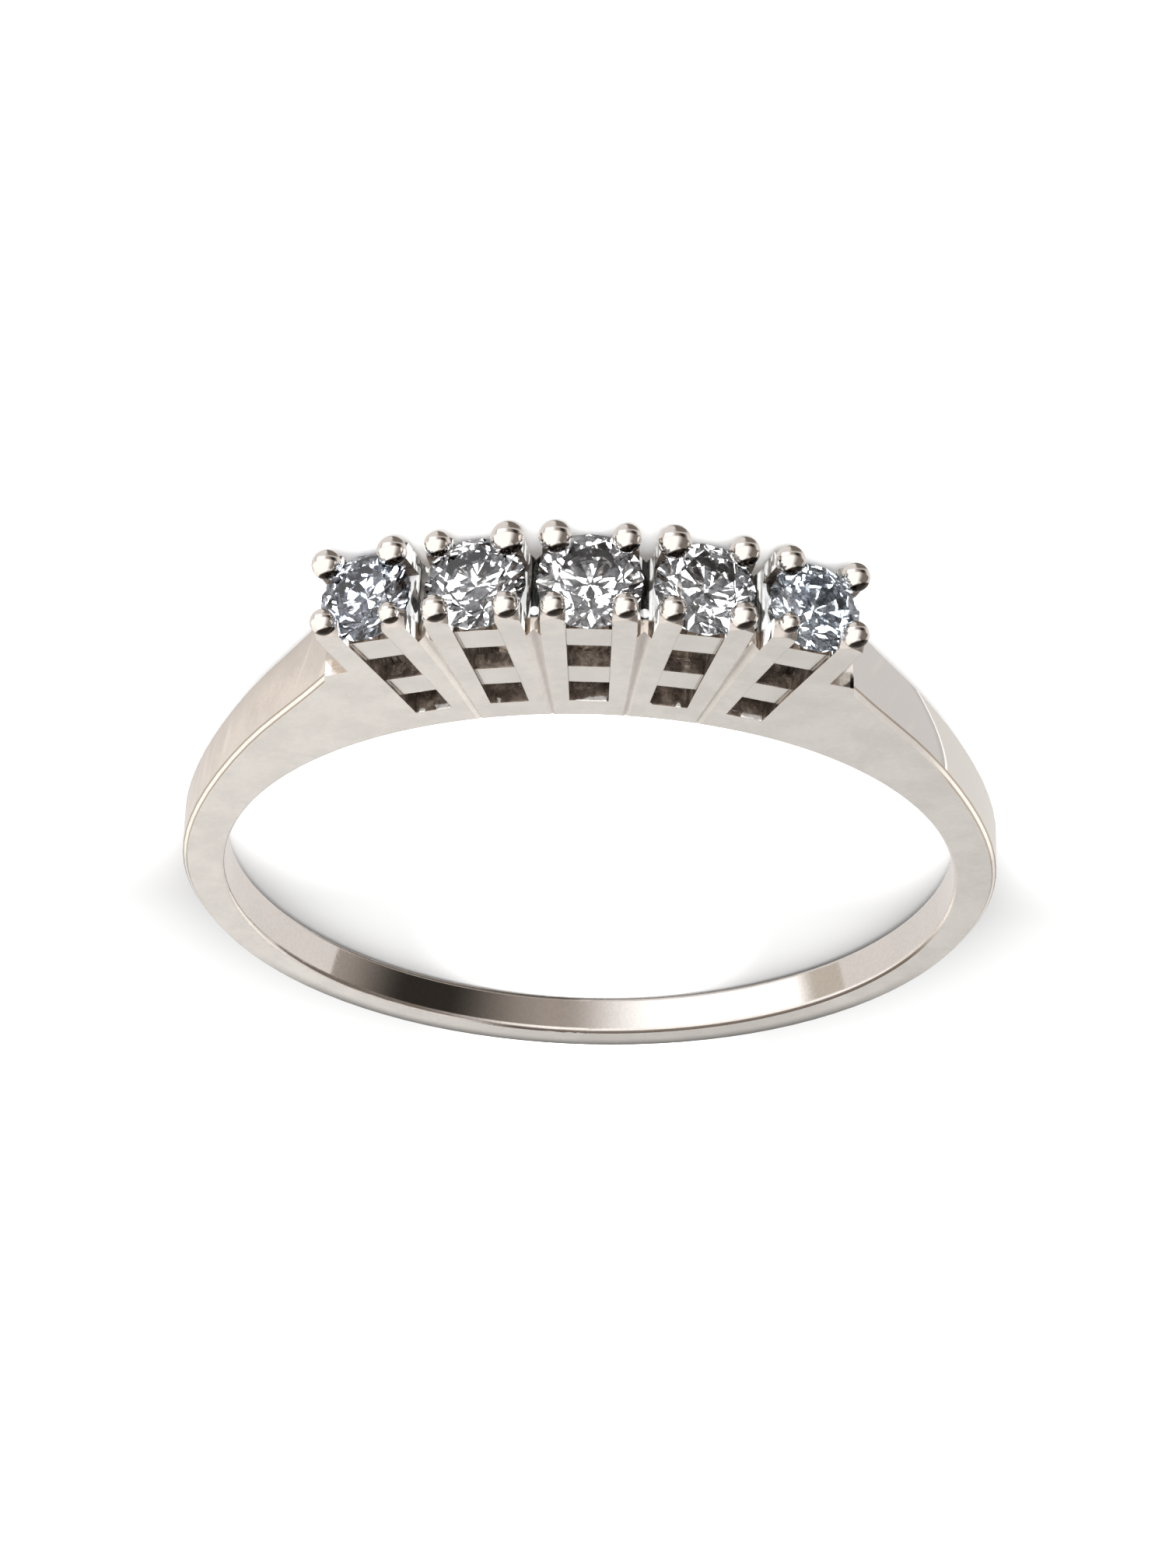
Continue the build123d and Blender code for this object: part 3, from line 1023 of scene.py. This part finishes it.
@dataclass
class Diamonds:
    """The five cut diamonds, from the one at the -X end on."""

    finishes: tuple[DiamondFinish, ...] = (
        DiamondFinish("diamond_1", tint=(0.86, 0.93, 1.0), shade=(0.72, 0.82, 0.98), clarity=0.972),
        DiamondFinish("diamond_2", tint=(0.97, 0.98, 1.0), shade=(0.90, 0.91, 0.93), clarity=0.992),
        DiamondFinish("diamond_3", tint=(0.98, 0.98, 1.0), shade=(0.91, 0.91, 0.92), clarity=0.992),
        DiamondFinish("diamond_4", tint=(0.97, 0.97, 1.0), shade=(0.90, 0.90, 0.93)),
        DiamondFinish("diamond_5", tint=(0.84, 0.90, 1.0), shade=(0.72, 0.80, 0.98)),
    )

    def dress(self, frame: dict) -> None:
        """Give each diamond a clear material of its own.
        """
        for finish in self.finishes:
            mesh = frame["nodes"][finish.node].data
            mesh.materials.clear()
            mesh.materials.append(finish.material())
            log.info("dressed %s", finish.node)


class Tone(Enum):
    """The tones of the studio's walls, screens and small lamps."""

    WALL = (0.80, 0.77, 0.745)
    CREAM = (1.12, 1.08, 1.01)
    WHITE = (1.24, 1.22, 1.19)
    GLOW = (1.5, 1.5, 1.5)
    GREY = (0.61, 0.56, 0.49)
    TAN = (0.40, 0.355, 0.32)
    BROWN = (0.19, 0.165, 0.145)
    BLACK = (0.032, 0.028, 0.024)
    SLATE = (0.12, 0.122, 0.126)
    STEEL = (0.36, 0.36, 0.37)
    LAMP = (8.0, 8.0, 8.0)


@dataclass(frozen=True)
class Panel:
    """A bright or dark screen of the studio, seen only in the metal's reflections.

    All numbers are angles in degrees. The azimuth is 0 towards -Y and 90 towards -X. The screen has its full
    tone within its azimuths and elevations. It fades out over edges at its two ends, and over fade above and
    below.
    """

    azimuths: Span
    elevations: Span
    tone: Tone
    edges: Span = (2.0, 2.0)
    fade: float = 4.0

    def share(self, sheet: Sheet, azimuth: Socket, elevation: Socket) -> Socket:
        """Read how much of the screen's tone is seen in each direction.

        Args:
            sheet: The world's node sheet.
            azimuth: The output that holds the direction's azimuth.
            elevation: The output that holds the direction's elevation.

        Returns:
            The output that holds the share.
        """
        start, end = self.azimuths
        low, high = self.elevations
        half = (end - start) / 2
        across = sheet.math("SUBTRACT", azimuth, (start + end) / 2)
        across = sheet.math("WRAP", across, HALF_TURN, -HALF_TURN)
        return sheet.times(
            sheet.ramp(across, (-half - self.edges[0], -half)),
            sheet.ramp(across, (half + self.edges[1], half)),
            sheet.ramp(elevation, (low - self.fade, low)),
            sheet.ramp(elevation, (high + self.fade, high)),
        )


BELT: Span = (-38.0, -18.0)


@dataclass
class Studio:
    """The room: soft light from all sides, what the metal and the stones reflect, and one small lamp."""

    room_tone: Colour = (3.7, 3.7, 3.7)
    sparkle_scale: float = 2.6
    sparkle_level: float = 0.602
    sparkle_softness: float = 0.03
    glitter_scale: float = 20.0
    glitter_span: Span = (0.36, 0.62)
    glitter_share: float = 0.08
    lamp_place: Place = (0.012, 0.040, 0.028)
    lamp_aim: Place = (0.0, -0.008, 0.0)
    lamp_size: float = 0.05
    lamp_power: float = 0.0002
    panels: tuple[Panel, ...] = (
        # Below, above and beside the ring, for the claw tips and the bevels
        Panel((24.0, 180.0), (-90.0, -54.0), Tone.BROWN, edges=(44.0, 20.0), fade=14.0),
        Panel((-118.0, 8.0), (-8.0, 90.0), Tone.WHITE, edges=(14.0, 36.0), fade=12.0),
        Panel((58.0, 108.0), (-15.0, 46.0), Tone.BROWN, edges=(40.0, 8.0), fade=10.0),
        Panel((-150.0, -110.0), (0.0, 45.0), Tone.CREAM, edges=(6.0, 2.0)),
        Panel((128.0, 144.0), (6.0, 38.0), Tone.CREAM, edges=(5.0, 4.0)),
        # Around the ring, for the inside of the band and the outside of the shoulders
        Panel((4.0, 180.0), BELT, Tone.TAN, edges=(36.0, 2.0)),
        Panel((-69.0, -30.0), BELT, Tone.GLOW, edges=(18.0, 40.0)),
        Panel((47.0, 61.0), BELT, Tone.BLACK, edges=(37.0, 32.0)),
        Panel((-91.0, -80.0), BELT, Tone.GREY, edges=(1.0, 10.0)),
        Panel((91.0, 269.0), BELT, Tone.WALL, edges=(1.2, 1.2)),
    )

    def screens(self, sheet: Sheet) -> Socket:
        """Lay out what the metal reflects.

        Args:
            sheet: The world's node sheet.

        Returns:
            The output that holds the tone seen in each direction.
        """
        place = sheet.node("TexCoord").outputs["Generated"]
        east, north, up = sheet.node("SeparateXYZ", {0: place}).outputs
        back = sheet.times(north, -1.0)
        azimuth = sheet.math("DEGREES", sheet.math("ARCTAN2", sheet.times(east, -1.0), back))
        elevation = sheet.math("DEGREES", sheet.math("ARCSINE", up))
        tone = Tone.WALL.value
        for panel in self.panels:
            tone = sheet.mix(panel.share(sheet, azimuth, elevation), tone, panel.tone.value)
        return tone

    def sparkle(self, sheet: Sheet) -> Socket:
        """Lay out what the stones show: a dim, mottled room with many small lamps.

        Args:
            sheet: The world's node sheet.

        Returns:
            The output that holds the tone seen in each direction.
        """
        place = sheet.node("TexCoord").outputs["Generated"]
        lamps = sheet.clouds(place, self.sparkle_scale, detail=0.0)
        glitter = sheet.clouds(place, self.glitter_scale, detail=1.0)
        dim = sheet.mix(sheet.ramp(glitter, self.glitter_span), Tone.SLATE.value, Tone.STEEL.value)
        height = sheet.math("MULTIPLY_ADD", glitter, self.glitter_share, lamps)
        level = self.sparkle_level + self.glitter_share / 2
        lit = sheet.ramp(height, (level, level + self.sparkle_softness))
        return sheet.mix(lit, dim, Tone.LAMP.value)

    def room(self) -> None:
        """Light the scene with a white room, and put what is reflected where only reflections see it."""
        world = bpy.data.worlds.new("studio")
        world.use_nodes = True
        bpy.context.scene.world = world
        sheet = Sheet(world.node_tree)
        rays = sheet.node("LightPath").outputs
        shown = sheet.node("Background", {"Color": self.room_tone}).outputs[0]
        reflected = {"Is Glossy Ray": self.screens(sheet), "Is Transmission Ray": self.sparkle(sheet)}
        for ray, tone in reflected.items():
            seen = sheet.node("Background", {"Color": tone}).outputs[0]
            shown = sheet.node("MixShader", {0: rays[ray], 1: shown, 2: seen}).outputs[0]
        sheet.node("OutputWorld", {"Surface": shown})
        bpy.context.scene.view_settings.view_transform = "Standard"
        log.info("lit the room with %d screens", len(self.panels))

    def lamp(self) -> None:
        """Hang a small soft lamp that the faces near the head reflect."""
        light = bpy.data.lights.new("face_lamp", "AREA")
        light.size = self.lamp_size
        light.energy = self.lamp_power
        made = bpy.data.objects.new("face_lamp", light)
        made.location = self.lamp_place
        made.rotation_euler = (made.location - Vector(self.lamp_aim)).to_track_quat("Z", "Y").to_euler()
        made.visible_camera = False
        made.visible_diffuse = False
        made.visible_transmission = False
        bpy.context.scene.collection.objects.link(made)
        log.info("hung the face lamp")


@dataclass
class Floor:
    """The pale floor, painted darker at both sides of the band's foot so that the soft shadow shows there,
    with a painted shadow just outside the band and painted light under the head.

    Lengths are in millimetres.
    """

    size: float = 900.0
    tone: Colour = (0.29, 0.289, 0.288)
    head_painted_light_gain: float = 3.2
    side_span: Span = (0.5, 4.6)
    foot_span: Span = (-3.0, 4.0)
    beside_span: Span = (9.5, 12.5)
    beside_shadow_factor: float = 0.8
    band_middle: float = 9.0
    cloud_scale: float = 0.05
    cloud_span: Span = (0.3, 0.7)
    cloud_fade: float = 0.99

    def rest_plane(self, frame: dict) -> tuple[float, float]:
        """Find the plane that the ring rests on: it touches the lowest claw tip and the back of the band.


        Returns:
            The plane's rise per metre along Y, and its height at the origin in metres.
        """
        points = [vertex.co for vertex in frame["nodes"][MOUNT_NODE].data.vertices]
        low = min(points, key=lambda point: point.z)
        slope = min((point.z - low.z) / (point.y - low.y) for point in points if point.y > 0.0)
        return slope, low.z - slope * low.y

    def material(self) -> bpy.types.Material:
        """Make the floor's material.

        Returns:
            A faintly cloudy material, with painted light pale at the head and in the middle, and a painted
            shadow darker beside the band's foot.
        """
        made, sheet, shader = new_material("pale_floor", "BsdfDiffuse")
        across, back, _ = sheet.place()
        radius = sheet.radius()
        # Painted shadow: darker at both sides of the band's foot; painted light: paler under the head, which
        # hides the shadow there
        dark = sheet.times(sheet.ramp(sheet.math("ABSOLUTE", across), self.side_span),
                           sheet.ramp(back, self.foot_span))
        paler = sheet.math("POWER", self.head_painted_light_gain, sheet.math("SUBTRACT", 1.0, dark))
        # Painted shadow just outside the band
        beside = sheet.math("MAXIMUM", sheet.ramp(radius, self.beside_span, low=self.beside_shadow_factor),
                            sheet.math("LESS_THAN", radius, self.band_middle))
        clouds = sheet.ramp(sheet.noise(self.cloud_scale), self.cloud_span, low=self.cloud_fade)
        sheet.feed(shader.inputs["Color"], sheet.scale(self.tone, sheet.times(paler, beside, clouds)))
        return made

    def lay(self, frame: dict) -> None:
        """Lay the floor under the ring.
        """
        slope, height = self.rest_plane(frame)
        half = self.size * MM / 2
        around = ((-half, -half), (half, -half), (half, half), (-half, half))
        mesh = bpy.data.meshes.new("floor")
        mesh.from_pydata([(x, y, height + slope * y) for x, y in around], [], [(0, 1, 2, 3)])
        mesh.materials.append(self.material())
        floor = bpy.data.objects.new("floor", mesh)
        bpy.context.scene.collection.objects.link(floor)
        floor.visible_glossy = False
        floor.visible_transmission = False
        log.info("laid the floor with slope %.4f", slope)


@dataclass
class Viewpoint:
    """The camera, at the angle from which the photograph was taken. Turns are in radians."""

    lean: float = 1.087380
    yaw: float = 0.0134633
    roll: float = -0.0459352
    head_turn: float = math.radians(-1.2)
    across: float = 0.0397952 * MM
    above: float = -1.7836340 * MM
    distance: float = 120.0 * MM
    focal_share: float = 6595.03 / 2016.0
    sensor: float = 36.0
    nearest: float = 0.001
    farthest: float = 10.0

    def place(self) -> None:
        """Set up the scene's camera."""
        turned = (Matrix.Rotation(self.roll, 3, "Z") @ Matrix.Rotation(self.lean, 3, "X")
                  @ Matrix.Rotation(self.yaw, 3, "Y") @ Matrix.Rotation(-self.head_turn, 3, "Z")
                  @ Matrix.Rotation(math.pi, 3, "Z"))
        rows = turned.transposed()
        place = rows @ Vector((-self.across, -self.above, self.distance))
        lens = bpy.data.cameras.new("camera")
        lens.sensor_width = self.sensor
        lens.lens = self.focal_share * self.sensor
        lens.clip_start = self.nearest
        lens.clip_end = self.farthest
        camera = bpy.data.objects.new("camera", lens)
        camera.matrix_world = Matrix.Translation(place) @ rows.to_4x4()
        bpy.context.scene.collection.objects.link(camera)
        bpy.context.scene.camera = camera
        log.info("placed the camera at %s", [round(part, 4) for part in camera.location])


def main() -> None:
    """Build the scene in order, and report each piece."""
    logging.basicConfig(level=logging.INFO, format="%(name)s: %(message)s")
    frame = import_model()
    Mount().dress(frame)
    Diamonds().dress(frame)
    studio = Studio()
    studio.room()
    studio.lamp()
    Floor().lay(frame)
    Viewpoint().place()


if __name__ == "__main__":
    main()
